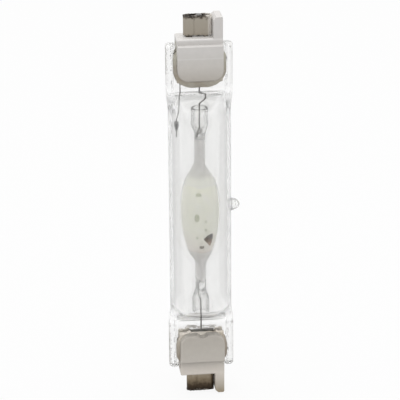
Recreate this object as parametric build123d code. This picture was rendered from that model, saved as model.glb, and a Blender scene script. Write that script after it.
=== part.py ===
"""Double-ended metal halide lamp: quartz bulb, arc tube, wires and two ceramic end caps."""

from build123d import *
import math
import os

# Sizes are in millimetres. The lamp stands along Z and its front looks along -Y.
# Heights are counted from the middle of the lamp, until each piece is lifted when saved.

# Whole lamp
OVERALL_LENGTH = 163.0  # over the weld knobs
CAP_PROJECTION = 8.9  # from a base's end face to its weld knob's tip
FIT_CLEARANCE = 0.1  # around metal that enters ceramic
CUT_MARGIN = 1.0  # that a cut runs on past the solid

# Outer bulb of quartz
TUBE_DIAMETER = 25.2
TUBE_WALL = 1.5
SHOULDER_LENGTH = 9.0  # from the round tube to the flat pinch
PINCH_LENGTH = 19.6
PINCH_WIDTH = 26.8
PINCH_WEB = 3.0  # thickness of the flat middle
BEAD_WIDTH = 3.1  # the thick bead along each edge of the pinch
BEAD_THICKNESS = 5.2
BEAD_ROUND = 1.2
BEAD_CHAMFER = 0.8
BEAD_RUNOUT = 3.0  # how far the beads run on into the shoulder
SLIT_THICKNESS = 1.4  # of the hollow where the pinch closes it
SLIT_SETBACK = 0.9  # from the pinch's flat to the end of the hollow
TIP_HEIGHT = 1.0  # exhaust tip above the middle
TIP_PROJECTION = 3.6
TIP_DIAMETER = 4.8
TIP_ROOT_DIAMETER = 6.4
TIP_END_DIAMETER = 2.6

# Ceramic bases
BASE_WIDTH = 18.2
END_WALL = 2.4  # between the end face and the slot for the pinch
PINCH_SEAT = 0.5  # cement between the slot's floor and the pinch
BASE_WALL = 1.9  # beside the slot, behind the end face
CEMENT_GAP = 0.3  # between the beads' thickness and the slot
PLATE_THICKNESS = 3.9
LONG_PLATE_SETBACK = 2.4  # from the end face
LONG_PLATE_LENGTH = 14.6
SHORT_PLATE_SETBACK = 6.4
SHORT_PLATE_LENGTH = 12.0
PLATE_CORNER_RADIUS = 4.2
PLATE_DIP_WIDTH = 4.2
PLATE_DIP_DEPTH = 0.9
EDGE_BREAK = 0.4  # chamfer along the outer edges
KEY_WIDTH = 3.8
KEY_LENGTH = 8.5
KEY_CHAMFER = 1.2

# Cement
CEMENT_BULGE = 1.6  # beyond the sides of the base
UPPER_CEMENT_OVERHANG = 2.4  # beyond the inner edges of the plates
LOWER_CEMENT_OVERHANG = 1.1
CEMENT_SETBACK = 5.0  # from the end face
CEMENT_SWELL = 1.4  # beyond the faces of the slot
CEMENT_BEVEL = 2.2
CEMENT_INNER_RADIUS = 8.0
CEMENT_OUTER_RADIUS = 4.0

# Contacts
CONTACT_WIDTH = 11.4
CONTACT_THICKNESS = 3.4
CONTACT_WALL = 0.5
CONTACT_STANDOFF = 0.6  # above the base's end face
CONTACT_KEY_GAP = 0.1
CONTACT_CREASE = 4.1  # from the left edge
CREASE_WIDTH = 0.4
CREASE_DEPTH = 0.25
FOOT_WIDTH = 2.2
FOOT_SPACING = 7.0
FOOT_DEPTH = 1.5
FOOT_INSET = 0.1  # from the sleeve's faces
KNOB_LENGTH = 1.5  # weld knob on the lead
KNOB_CHAMFER = 0.35
KNOB_PROJECTION = 0.5  # beyond the contact's end

# Metal in the outer pinches
OUTER_LEAD_DIAMETER = 1.0
FEED_WIRE_DIAMETER = 0.6
FOIL_THICKNESS = 0.1
PINCH_FOIL_WIDTH = 10.0
PINCH_FOIL_LENGTH = 11.0
PINCH_FOIL_SETBACK = 3.2  # from the inner end of the pinch's flat
WELD_OVERLAP = 1.2  # of a wire on a foil
CREVICE_SHARE = 0.8  # of a wire's diameter
KINK_WIDTH = 2.5
KINK_HEIGHT = 5.0
KINK_SETBACK = 1.0  # from the inner end of the pinch's flat
KINK_JOG = 0.7
KINK_SLOPE = 2.1

# Arc tube of quartz
ARC_DROP = 0.5  # its widest plane below the middle of the lamp
ARC_DIAMETER = 16.3
ARC_UPPER_SHARE = 0.1946  # of the length between the pinches, from the widest plane to each end
ARC_LOWER_SHARE = 0.2275
ARC_WALL = 1.2
EGG_STEPS = 3  # points on each half of the bulb's outline
HOLLOW_SHARE = 0.96  # of the hollow's half-length, up to its small flat ends
SEAL_WIDTH = 8.2
SEAL_THICKNESS = 3.6
SEAL_TURN = 102.0  # degrees from the outer pinches
UPPER_STUB_GAP = 7.5  # from the rim of each stub to the pinch's flat
LOWER_STUB_GAP = 4.0
UPPER_FLARE_LENGTH = 6.2
LOWER_FLARE_LENGTH = 4.3
FLARE_REACH = 0.5  # of the flares beyond the ends of the bulb
FLARE_CURVE = 1.25  # 1 makes a straight cone
FLARE_STEPS = 4
FUNNEL_LENGTH = 4.2
STUB_DIAMETER = 6.7
STUB_WALL = 0.9
STUB_LENGTH = 6.6
ARC_FOIL_WIDTH = 2.6
FOIL_NEAR_SHARE = 0.2  # of the seal's length, to each end of its foil
FOIL_FAR_SHARE = 0.75

# Electrodes
ELECTRODE_DIAMETER = 0.8
ELECTRODE_REACH = 6.0  # into the arc tube's hollow
COIL_WIRE = 0.6
COIL_TURNS = 3
COIL_SETBACK = 0.7  # from the electrode's tip

# Getter
GETTER_WIRE_DIAMETER = 0.5
GETTER_EMBED = 6.0  # of its wire in the pinch
GETTER_DROP = 12.2  # from the pinch's flat to the top of the strip
GETTER_WALL_GAP = 1.9
GETTER_WIDTH = 1.6
GETTER_LENGTH = 5.0
GETTER_THICKNESS = 0.5
GETTER_TAIL = 2.0

# Salt and mercury on the arc tube's inner wall
DROP_CLEARANCE = 0.02
DROP_SIDES = 8
DROP_TAPER = 35.0
SALT_HEIGHT = -11.6
SALT_AZIMUTH = 26.0  # degrees from the front towards +X
SALT_THICKNESS = 0.5
SALT_OUTLINE = [(-2.0, 0.2), (-0.2, 2.0), (1.7, 2.3), (1.9, 0.2), (0.3, -2.9)]  # right, up
DROP_PLACES = [  # height, azimuth, spread
    (7.2, -14.0, 1.9),
    (3.0, -15.0, 0.9),
    (-2.6, -18.0, 2.2),
    (-4.2, 12.0, 0.9),
    (-7.8, 14.0, 0.9),
    (-11.2, -19.0, 0.9),
    (-15.2, -4.0, 1.5),
]

# Planes that the sizes above lead to
BASE_END = OVERALL_LENGTH / 2 - CAP_PROJECTION
PINCH_END = BASE_END - END_WALL - PINCH_SEAT
PINCH_START = PINCH_END - PINCH_LENGTH
TUBE_END = PINCH_START - SHOULDER_LENGTH
TUBE_RADIUS = TUBE_DIAMETER / 2
BORE_RADIUS = TUBE_RADIUS - TUBE_WALL
SLOT_WIDTH = BEAD_THICKNESS + 2 * CEMENT_GAP
BASE_DEPTH = SLOT_WIDTH + 2 * BASE_WALL
KEY_FACE = BASE_WIDTH / 2 - KEY_WIDTH
CONTACT_MIDDLE = KEY_FACE - CONTACT_KEY_GAP - CONTACT_WIDTH / 2
CONTACT_END = CAP_PROJECTION - KNOB_PROJECTION
FOIL_OFFSET = (FEED_WIRE_DIAMETER + FOIL_THICKNESS) / 2
ARC_MIDDLE = -ARC_DROP
ARC_UPPER_HALF = ARC_UPPER_SHARE * 2 * PINCH_START
ARC_LOWER_HALF = ARC_LOWER_SHARE * 2 * PINCH_START
ARC_TOP = ARC_MIDDLE + ARC_UPPER_HALF
ARC_BOTTOM = ARC_MIDDLE - ARC_LOWER_HALF
STUB_REACH = STUB_LENGTH + FUNNEL_LENGTH
UPPER_SEAL_LENGTH = PINCH_START - UPPER_STUB_GAP - STUB_REACH - ARC_TOP
LOWER_SEAL_LENGTH = PINCH_START - LOWER_STUB_GAP - STUB_REACH + ARC_BOTTOM

UPPER_CAP = Pos(0, 0, BASE_END)
LOWER_CAP = Pos(0, 0, -BASE_END) * Rot(180, 0, 0)


def box_between(low, high):
    """Box from one corner to the opposite one."""
    size = [b - a for a, b in zip(low, high)]
    middle = [(a + b) / 2 for a, b in zip(low, high)]
    return Pos(*middle) * Box(*size)


def rod_between(x, y, z_low, z_high, diameter):
    """Upright round rod."""
    return Pos(x, y, (z_low + z_high) / 2) * Cylinder(diameter / 2, z_high - z_low)


def lead_offset(diameter):
    """Where a wire lies so that it touches the same face of a foil as the feed wire does."""
    return (FEED_WIRE_DIAMETER - diameter) / 2


def weld_crevice(diameter, z_low, z_high):
    """Narrow space beside a wire on a foil, which the quartz doesn't fill."""
    return box_between((-CREVICE_SHARE * diameter / 2, lead_offset(diameter), z_low),
                       (CREVICE_SHARE * diameter / 2, FOIL_OFFSET, z_high))


def shoulder(radius, half_width, half_thickness, z_start, z_end):
    """Round tube flattening into a pinch: steep where it meets the pinch, smooth at the tube."""
    sections = []
    steps = 5
    for i in range(steps + 1):
        angle = math.pi / 2 * i / steps
        wide = radius + (half_width - radius) * math.sin(angle) ** 2
        thick = half_thickness + (radius - half_thickness) * math.cos(angle)
        z = z_start + (z_end - z_start) * i / steps
        sections.append(Pos(0, 0, z) * Ellipse(wide, thick))
    return loft(sections)


def pinch():
    """Flat upper pinch with a thick rounded bead along each edge."""
    web_width = PINCH_WIDTH - BEAD_WIDTH
    web = box_between((-web_width / 2, -PINCH_WEB / 2, PINCH_START - SLIT_SETBACK),
                      (web_width / 2, PINCH_WEB / 2, PINCH_END))
    bead_length = PINCH_LENGTH + BEAD_RUNOUT
    bead = Box(BEAD_WIDTH, BEAD_THICKNESS, bead_length)
    bead = fillet(bead.edges().filter_by(Axis.Z), BEAD_ROUND)
    bead = chamfer(bead.edges().group_by(Axis.Z)[0] + bead.edges().group_by(Axis.Z)[-1], BEAD_CHAMFER)
    bead_z = PINCH_END - bead_length / 2
    return web + Pos(web_width / 2, 0, bead_z) * bead + Pos(-web_width / 2, 0, bead_z) * bead


def exhaust_tip():
    """Sealed-off exhaust tube on the right side of the bulb, with a blunt end."""
    waist = TUBE_WALL + TIP_PROJECTION / 2
    upward = (Align.CENTER, Align.CENTER, Align.MIN)
    root = Cone(TIP_ROOT_DIAMETER / 2, TIP_DIAMETER / 2, waist, align=upward)
    blunt = Cone(TIP_DIAMETER / 2, TIP_END_DIAMETER / 2, TIP_PROJECTION / 2, align=upward)
    return Pos(BORE_RADIUS, 0, TIP_HEIGHT) * Rot(0, 90, 0) * (root + Pos(0, 0, waist) * blunt)


def bulb_blank():
    """Outer bulb with its hollow, before the seals close round the metal."""
    upper = shoulder(TUBE_RADIUS, PINCH_WIDTH / 2, BEAD_THICKNESS / 2, TUBE_END, PINCH_START)
    upper += pinch()
    outside = Cylinder(TUBE_RADIUS, 2 * TUBE_END) + upper + Rot(180, 0, 0) * upper + exhaust_tip()
    slit_width = PINCH_WIDTH / 2 - BEAD_WIDTH
    hollow_end = shoulder(BORE_RADIUS, min(slit_width, BORE_RADIUS), SLIT_THICKNESS / 2,
                          TUBE_END, PINCH_START - SLIT_SETBACK)
    hollow = Cylinder(BORE_RADIUS, 2 * TUBE_END) + hollow_end + Rot(180, 0, 0) * hollow_end
    return outside - hollow


def ceramic_base():
    """Upper base in its own frame: end face at 0, contact side up, long plate to the front."""
    slot = SLOT_WIDTH / 2
    side = BASE_DEPTH / 2
    face = slot + PLATE_THICKNESS
    long_end = LONG_PLATE_SETBACK + LONG_PLATE_LENGTH
    short_end = SHORT_PLATE_SETBACK + SHORT_PLATE_LENGTH
    section = [
        (-side, 0), (side, 0), (side, -SHORT_PLATE_SETBACK), (face, -SHORT_PLATE_SETBACK),
        (face, -short_end), (slot, -short_end), (slot, -END_WALL), (-slot, -END_WALL),
        (-slot, -long_end), (-face, -long_end), (-face, -LONG_PLATE_SETBACK),
        (-side, -LONG_PLATE_SETBACK),
    ]
    profile = make_face(Polyline(*section, close=True))
    body = extrude(Plane.YZ * profile, BASE_WIDTH / 2, both=True)
    corners = [edge for edge in body.edges().filter_by(Axis.Y)
               if edge.center().Z < -min(LONG_PLATE_LENGTH, SHORT_PLATE_LENGTH)]
    body = fillet(corners, PLATE_CORNER_RADIUS)
    body = chamfer(outer_edges(body), EDGE_BREAK)
    dip_radius = (PLATE_DIP_WIDTH ** 2 / 4 + PLATE_DIP_DEPTH ** 2) / (2 * PLATE_DIP_DEPTH)
    dip = Pos(0, (slot + face) / 2, PLATE_DIP_DEPTH - dip_radius - short_end) * Rot(90, 0, 0) * Cylinder(
        dip_radius, 2 * PLATE_THICKNESS)
    return body - dip + key() - contact_pockets()


def outer_edges(body):
    """Edges round the outside faces of the two plates and of the end face."""
    planes = [body.faces().sort_by(Axis.Y)[0], body.faces().sort_by(Axis.Y)[-1],
              body.faces().sort_by(Axis.Z)[-1]]
    return [edge for plane in planes for edge in plane.edges()]


def key():
    """Ceramic key beside the contact."""
    block = box_between((KEY_FACE, -BASE_DEPTH / 2, -EDGE_BREAK),
                        (BASE_WIDTH / 2, BASE_DEPTH / 2, KEY_LENGTH))
    slope = block.edges().filter_by(Axis.Y).group_by(Axis.Z)[-1].sort_by(Axis.X)[0]
    block = chamfer(slope, KEY_CHAMFER)
    outside = block.faces().sort_by(Axis.X)[-1].edges() - block.faces().sort_by(Axis.Z)[0].edges()
    return chamfer(outside, EDGE_BREAK)


def foot_places():
    """Left and right limits of the contact's two feet."""
    middles = [CONTACT_MIDDLE - FOOT_SPACING / 2, CONTACT_MIDDLE + FOOT_SPACING / 2]
    return [(x - FOOT_WIDTH / 2, x + FOOT_WIDTH / 2) for x in middles]


def contact_pockets():
    """Pockets for the contact's feet and the hole for the outer lead."""
    half = CONTACT_THICKNESS / 2 - FOOT_INSET + FIT_CLEARANCE
    cut = rod_between(0, lead_offset(OUTER_LEAD_DIAMETER), -END_WALL - CUT_MARGIN, CUT_MARGIN,
                      OUTER_LEAD_DIAMETER + 2 * FIT_CLEARANCE)
    for left, right in foot_places():
        cut += box_between((left - FIT_CLEARANCE, -half, -FOOT_DEPTH - FIT_CLEARANCE),
                           (right + FIT_CLEARANCE, half, CUT_MARGIN))
    return cut


def contact():
    """Flattened sleeve on two feet, creased on both faces."""
    inner_width = CONTACT_WIDTH - 2 * CONTACT_WALL
    inner_thickness = CONTACT_THICKNESS - 2 * CONTACT_WALL
    ring = SlotOverall(CONTACT_WIDTH, CONTACT_THICKNESS) - SlotOverall(inner_width, inner_thickness)
    height = CONTACT_END + FOOT_DEPTH
    sleeve = Pos(CONTACT_MIDDLE, 0, -FOOT_DEPTH) * extrude(ring, height)
    left = CONTACT_MIDDLE - CONTACT_WIDTH / 2
    crease = Box(CREASE_WIDTH, 2 * CREASE_DEPTH, 4 * height)
    for side in (-1, 1):
        sleeve -= Pos(left + CONTACT_CREASE, side * CONTACT_THICKNESS / 2, 0) * crease
    feet = foot_places()
    openings = [(left - CUT_MARGIN, feet[0][0]), (feet[0][1], feet[1][0]),
                (feet[1][1], left + CONTACT_WIDTH + CUT_MARGIN)]
    for low, high in openings:
        sleeve -= box_between((low, -CONTACT_THICKNESS, -FOOT_DEPTH - CUT_MARGIN),
                              (high, CONTACT_THICKNESS, CONTACT_STANDOFF))
    foot_face = CONTACT_THICKNESS / 2 - FOOT_INSET
    for low, high in ((-CONTACT_THICKNESS, -foot_face), (foot_face, CONTACT_THICKNESS)):
        sleeve -= box_between((-BASE_WIDTH, low, -FOOT_DEPTH - CUT_MARGIN),
                              (BASE_WIDTH, high, CONTACT_STANDOFF))
    return sleeve


def outer_lead():
    """Pin from the pinch foil to the contact, ending in a weld knob between the contact's walls."""
    knob_diameter = CONTACT_THICKNESS - 2 * CONTACT_WALL
    knob = Pos(0, 0, CAP_PROJECTION - KNOB_LENGTH / 2) * Cylinder(knob_diameter / 2, KNOB_LENGTH)
    knob = chamfer(knob.edges().filter_by(GeomType.CIRCLE), KNOB_CHAMFER)
    foil_end = PINCH_START + PINCH_FOIL_SETBACK + PINCH_FOIL_LENGTH - BASE_END
    return knob + rod_between(0, lead_offset(OUTER_LEAD_DIAMETER), foil_end - WELD_OVERLAP,
                              CAP_PROJECTION - KNOB_LENGTH / 2, OUTER_LEAD_DIAMETER)


def pinch_foil():
    """Foil sealed in the pinch."""
    inner = PINCH_START + PINCH_FOIL_SETBACK - BASE_END
    return box_between(
        (-PINCH_FOIL_WIDTH / 2, FOIL_OFFSET - FOIL_THICKNESS / 2, inner),
        (PINCH_FOIL_WIDTH / 2, FOIL_OFFSET + FOIL_THICKNESS / 2, inner + PINCH_FOIL_LENGTH))


def cement_blank(overhang):
    """Pillow of cement before the base and the pinch are taken out of it."""
    plate_end = max(LONG_PLATE_SETBACK + LONG_PLATE_LENGTH,
                    SHORT_PLATE_SETBACK + SHORT_PLATE_LENGTH)
    low = -plate_end - overhang
    width = BASE_WIDTH + 2 * CEMENT_BULGE
    outline = Pos(0, (low - CEMENT_SETBACK) / 2) * Rectangle(width, -CEMENT_SETBACK - low)
    outline = fillet(outline.vertices().group_by(Axis.Y)[0], CEMENT_INNER_RADIUS)
    outline = fillet(outline.vertices().group_by(Axis.Y)[-1], CEMENT_OUTER_RADIUS)
    depth = SLOT_WIDTH / 2 + CEMENT_SWELL
    pillow = extrude(Plane.XZ * outline, depth, both=True)
    rims = pillow.faces().sort_by(Axis.Y)[0].edges() + pillow.faces().sort_by(Axis.Y)[-1].edges()
    filling = box_between((-BASE_WIDTH / 2, -SLOT_WIDTH / 2, -plate_end),
                          (BASE_WIDTH / 2, SLOT_WIDTH / 2, -END_WALL))
    return chamfer(rims, CEMENT_BEVEL) + filling


def bent_wire(points, diameter):
    """Round wire with sharp bends."""
    path = Polyline(*points)
    start = Plane(path @ 0, z_dir=path % 0)
    return sweep(start * Circle(diameter / 2), path, transition=Transition.RIGHT)


def feed_wire(top, bottom, kinked):
    """Wire between a pinch foil and an arc foil; the kink takes up its expansion."""
    if not kinked:
        return rod_between(0, 0, bottom, top, FEED_WIRE_DIAMETER)
    start = PINCH_START - KINK_SETBACK
    points = [
        (0, 0, top), (0, 0, start), (KINK_WIDTH, 0, start - KINK_JOG),
        (KINK_WIDTH, 0, start - KINK_HEIGHT + KINK_SLOPE), (0, 0, start - KINK_HEIGHT),
        (0, 0, bottom),
    ]
    return bent_wire(points, FEED_WIRE_DIAMETER)


def egg(inset, low, high):
    """Blown bulb of the arc tube between two heights, or its hollow when inset by the wall."""
    radius = ARC_DIAMETER / 2 - inset
    points = []
    for end, half in ((low, ARC_LOWER_HALF - inset), (high, ARC_UPPER_HALF - inset)):
        end_angle = math.asin((end - ARC_MIDDLE) / half)
        for step in range(1, EGG_STEPS + 1):
            angle = end_angle * step / EGG_STEPS
            points.append((radius * math.cos(angle), ARC_MIDDLE + half * math.sin(angle)))
    points.append((radius, ARC_MIDDLE))
    points.sort(key=lambda point: point[1])
    side = Spline(*points)
    ends = Polyline(points[-1], (0, high), (0, low), points[0])
    return revolve(Plane.XZ * make_face(Curve() + [side, ends]), Axis.Z)


def egg_radius(height, inset):
    """Radius of the arc tube's bulb at a height, or of its hollow when inset by the wall."""
    half = ARC_UPPER_HALF if height > ARC_MIDDLE else ARC_LOWER_HALF
    share = (height - ARC_MIDDLE) / (half - inset)
    return (ARC_DIAMETER / 2 - inset) * math.sqrt(1 - share ** 2)


def flare(root, root_radius, length):
    """Concave neck from the round bulb to the flat seal."""
    sections = []
    for i in range(FLARE_STEPS + 1):
        left = (1 - i / FLARE_STEPS) ** FLARE_CURVE
        wide = SEAL_WIDTH / 2 + (root_radius - SEAL_WIDTH / 2) * left
        thick = SEAL_THICKNESS / 2 + (root_radius - SEAL_THICKNESS / 2) * left
        sections.append(Pos(0, 0, root + length * i / FLARE_STEPS) * Ellipse(wide, thick))
    return loft(sections)


def arc_end(bulb_end, flare_length, seal_length, sign):
    """One end of the arc tube, upward from the bulb: flare, flat seal, funnel and open stub."""
    seal_end = bulb_end + seal_length
    stub_start = seal_end + FUNNEL_LENGTH
    stub_end = stub_start + STUB_LENGTH
    root = bulb_end + FLARE_REACH - flare_length
    neck = flare(root, egg_radius(sign * root, 0), flare_length)
    outline = Ellipse(SEAL_WIDTH / 2, SEAL_THICKNESS / 2)
    seal = extrude(Pos(0, 0, bulb_end) * outline, seal_length)
    rim = Ellipse(STUB_DIAMETER / 2, STUB_DIAMETER / 2)
    funnel = loft([Pos(0, 0, seal_end) * outline, Pos(0, 0, stub_start) * rim])
    stub = rod_between(0, 0, stub_start, stub_end, STUB_DIAMETER)
    bore_radius = STUB_DIAMETER / 2 - STUB_WALL
    pit = Pos(0, 0, (seal_end + stub_start) / 2) * Cone(FEED_WIRE_DIAMETER, bore_radius, FUNNEL_LENGTH)
    bore = rod_between(0, 0, stub_start, stub_end, 2 * bore_radius) + pit
    return neck + seal + funnel + stub, bore


def foil_span(bulb_end, seal_length):
    """Near and far end of the foil in a seal, upward from the bulb."""
    return bulb_end + FOIL_NEAR_SHARE * seal_length, bulb_end + FOIL_FAR_SHARE * seal_length


def seal_metal(bulb_end, seal_length):
    """Foil, electrode rod and winding of one end, upward from the bulb."""
    foil_near, foil_far = foil_span(bulb_end, seal_length)
    foil = box_between((-ARC_FOIL_WIDTH / 2, FOIL_OFFSET - FOIL_THICKNESS / 2, foil_near),
                       (ARC_FOIL_WIDTH / 2, FOIL_OFFSET + FOIL_THICKNESS / 2, foil_far))
    tip = bulb_end - ARC_WALL - ELECTRODE_REACH
    axis = Pos(0, lead_offset(ELECTRODE_DIAMETER), tip)
    rod_length = foil_near + WELD_OVERLAP - tip
    rod = axis * Pos(0, 0, rod_length / 2) * Cylinder(ELECTRODE_DIAMETER / 2, rod_length)
    return foil, rod, axis * Pos(0, 0, COIL_SETBACK) * winding()


def winding():
    """Close winding round an electrode, one ridge to a turn."""
    inner = ELECTRODE_DIAMETER / 2
    groove = inner + COIL_WIRE / 2
    outline = [(inner, 0), (groove, 0)]
    for turn in range(COIL_TURNS):
        outline.append((inner + COIL_WIRE, COIL_WIRE * (turn + 0.5)))
        outline.append((groove, COIL_WIRE * (turn + 1)))
    outline.append((inner, COIL_WIRE * COIL_TURNS))
    return revolve(Plane.XZ * make_face(Polyline(*outline, close=True)), Axis.Z)


def wall_seat(height, azimuth, reach):
    """Plane on the arc tube's inner wall, facing inward, for a flat piece that reaches so far."""
    turn = math.radians(azimuth)
    radius = egg_radius(height, ARC_WALL)
    half = ARC_UPPER_HALF if height > ARC_MIDDLE else ARC_LOWER_HALF
    outward = Vector(radius * math.sin(turn) / (ARC_DIAMETER / 2 - ARC_WALL) ** 2,
                     -radius * math.cos(turn) / (ARC_DIAMETER / 2 - ARC_WALL) ** 2,
                     (height - ARC_MIDDLE) / (half - ARC_WALL) ** 2).normalized()
    wall = Vector(radius * math.sin(turn), -radius * math.cos(turn), height)
    seat = wall - outward * (reach ** 2 / (2 * radius) + DROP_CLEARANCE)
    return Plane(seat, x_dir=(math.cos(turn), math.sin(turn), 0), z_dir=-outward)


def salt():
    """Flat angular crust of salt on the wall."""
    reach = max(math.hypot(x, z) for x, z in SALT_OUTLINE)
    outline = make_face(Polyline(*[(x, -z) for x, z in SALT_OUTLINE], close=True))
    return wall_seat(SALT_HEIGHT, SALT_AZIMUTH, reach) * extrude(outline, SALT_THICKNESS)


def droplets():
    """Low drops of mercury on the wall."""
    drops = []
    for height, azimuth, spread in DROP_PLACES:
        base = RegularPolygon(spread / 2, DROP_SIDES)
        drop = extrude(base, spread / 3, taper=DROP_TAPER)
        drops.append(wall_seat(height, azimuth, spread / 2) * drop)
    return Compound([solid for drop in drops for solid in drop.solids()])


def pinch_crevices():
    """Crevices at the outer and inner welds of a pinch foil, in the base's frame."""
    inner = PINCH_START + PINCH_FOIL_SETBACK - BASE_END
    outer = inner + PINCH_FOIL_LENGTH
    return (weld_crevice(OUTER_LEAD_DIAMETER, outer - WELD_OVERLAP, outer),
            weld_crevice(FEED_WIRE_DIAMETER, inner, inner + WELD_OVERLAP))


def seal_crevices(bulb_end, seal_length):
    """Crevices at the electrode's and the feed wire's weld on an arc foil."""
    near, far = foil_span(bulb_end, seal_length)
    return (weld_crevice(ELECTRODE_DIAMETER, near, near + WELD_OVERLAP),
            weld_crevice(FEED_WIRE_DIAMETER, far - WELD_OVERLAP, far))


def getter_pieces():
    """Getter wire, from the upper pinch down beside the stub, and the strip it carries."""
    pinch_x = -(PINCH_FOIL_WIDTH / 2 + PINCH_WIDTH / 2 - BEAD_WIDTH) / 2
    strip_x = -(BORE_RADIUS - GETTER_WALL_GAP)
    strip_top = PINCH_START - GETTER_DROP
    strip_bottom = strip_top - GETTER_LENGTH
    points = [(pinch_x, 0, PINCH_START + GETTER_EMBED), (pinch_x, 0, PINCH_START),
              (strip_x, 0, strip_top), (strip_x, 0, strip_bottom - GETTER_TAIL)]
    wire = bent_wire(points, GETTER_WIRE_DIAMETER)
    back = -GETTER_WIRE_DIAMETER / 2
    strip = box_between((strip_x - GETTER_WIDTH / 2, back - GETTER_THICKNESS, strip_bottom),
                        (strip_x + GETTER_WIDTH / 2, back, strip_top))
    return wire, strip


def build():
    """All pieces of the lamp by name."""
    pieces = {}
    turn = Rot(0, 0, SEAL_TURN)
    hollow = egg(ARC_WALL, ARC_MIDDLE - HOLLOW_SHARE * (ARC_LOWER_HALF - ARC_WALL),
                 ARC_MIDDLE + HOLLOW_SHARE * (ARC_UPPER_HALF - ARC_WALL))
    upper_end, upper_bore = arc_end(ARC_TOP, UPPER_FLARE_LENGTH, UPPER_SEAL_LENGTH, 1)
    lower_end, lower_bore = arc_end(-ARC_BOTTOM, LOWER_FLARE_LENGTH, LOWER_SEAL_LENGTH, -1)
    over = Rot(180, 0, 0)
    arc = egg(0, ARC_BOTTOM - FLARE_REACH + LOWER_FLARE_LENGTH, ARC_TOP + FLARE_REACH - UPPER_FLARE_LENGTH)
    arc = turn * (arc + upper_end + over * lower_end) - hollow - upper_bore - over * lower_bore

    upper_metal = seal_metal(ARC_TOP, UPPER_SEAL_LENGTH)
    lower_metal = seal_metal(-ARC_BOTTOM, LOWER_SEAL_LENGTH)
    for name, upper, lower in zip(("arc_foil", "electrode", "electrode_coil"), upper_metal, lower_metal):
        pieces["upper_" + name] = turn * upper
        pieces["lower_" + name] = turn * over * lower

    pinch_weld = PINCH_START + PINCH_FOIL_SETBACK + WELD_OVERLAP
    upper_weld = foil_span(ARC_TOP, UPPER_SEAL_LENGTH)[1] - WELD_OVERLAP
    lower_weld = WELD_OVERLAP - foil_span(-ARC_BOTTOM, LOWER_SEAL_LENGTH)[1]
    pieces["upper_feed_wire"] = feed_wire(pinch_weld, upper_weld, kinked=True)
    pieces["lower_feed_wire"] = feed_wire(lower_weld, -pinch_weld, kinked=False)
    pieces["getter_wire"], pieces["getter"] = getter_pieces()

    bulb = bulb_blank()
    caps = (("upper", UPPER_CAP, UPPER_CEMENT_OVERHANG), ("lower", LOWER_CAP, LOWER_CEMENT_OVERHANG))
    for end, cap, overhang in caps:
        pieces[end + "_base"] = cap * ceramic_base()
        pieces[end + "_contact"] = cap * contact()
        pieces[end + "_outer_lead"] = cap * outer_lead()
        pieces[end + "_pinch_foil"] = cap * pinch_foil()
        pieces[end + "_cement"] = (cap * cement_blank(overhang) - pieces[end + "_base"] - bulb
                                   - pieces[end + "_outer_lead"])
        outer_weld, inner_weld = pinch_crevices()
        bulb -= pieces[end + "_outer_lead"] + cap * outer_weld
        bulb -= pieces[end + "_feed_wire"] + cap * inner_weld
        bulb -= pieces[end + "_pinch_foil"]
    pieces["outer_bulb"] = bulb - pieces["getter_wire"]

    seals = (("upper", turn, ARC_TOP, UPPER_SEAL_LENGTH),
             ("lower", turn * over, -ARC_BOTTOM, LOWER_SEAL_LENGTH))
    for end, place, bulb_end, seal_length in seals:
        electrode_weld, feed_weld = seal_crevices(bulb_end, seal_length)
        arc -= pieces[end + "_electrode"] + place * electrode_weld
        arc -= pieces[end + "_feed_wire"] + place * feed_weld
        arc -= pieces[end + "_arc_foil"]
    pieces["arc_tube"] = arc

    pieces["halide_salt"] = salt()
    pieces["mercury_beads"] = droplets()
    return pieces


os.makedirs("parts", exist_ok=True)
lift = Pos(0, 0, OVERALL_LENGTH / 2)
for name, piece in build().items():
    export_step(lift * piece, f"parts/{name}.step")
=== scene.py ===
"""Double-ended metal halide lamp: glass, finishes, studio light and camera."""

import bmesh
import bpy
import math
from mathutils import Matrix, Vector, noise

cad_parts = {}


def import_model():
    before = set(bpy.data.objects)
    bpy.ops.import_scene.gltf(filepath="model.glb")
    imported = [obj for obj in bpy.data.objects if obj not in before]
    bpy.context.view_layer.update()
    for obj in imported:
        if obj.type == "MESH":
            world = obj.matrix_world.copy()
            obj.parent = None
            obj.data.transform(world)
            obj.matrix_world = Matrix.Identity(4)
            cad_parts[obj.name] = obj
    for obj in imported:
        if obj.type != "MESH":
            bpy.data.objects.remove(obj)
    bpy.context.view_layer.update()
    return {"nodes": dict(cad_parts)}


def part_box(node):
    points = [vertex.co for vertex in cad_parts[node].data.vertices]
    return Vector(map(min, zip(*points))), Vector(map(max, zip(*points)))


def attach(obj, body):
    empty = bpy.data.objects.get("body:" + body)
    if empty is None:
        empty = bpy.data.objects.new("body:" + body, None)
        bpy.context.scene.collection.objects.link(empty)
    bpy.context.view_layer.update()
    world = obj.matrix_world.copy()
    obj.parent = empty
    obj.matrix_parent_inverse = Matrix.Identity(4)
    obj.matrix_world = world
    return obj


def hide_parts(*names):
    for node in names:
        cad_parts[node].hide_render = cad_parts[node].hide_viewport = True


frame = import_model()
nodes = frame["nodes"]

MM = 0.001

# Places taken from the solids
BULB_LOW, BULB_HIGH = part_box("outer_bulb")
ARC_LOW, ARC_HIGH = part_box("arc_tube")
MIDDLE = (BULB_LOW.z + BULB_HIGH.z) / 2

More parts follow.
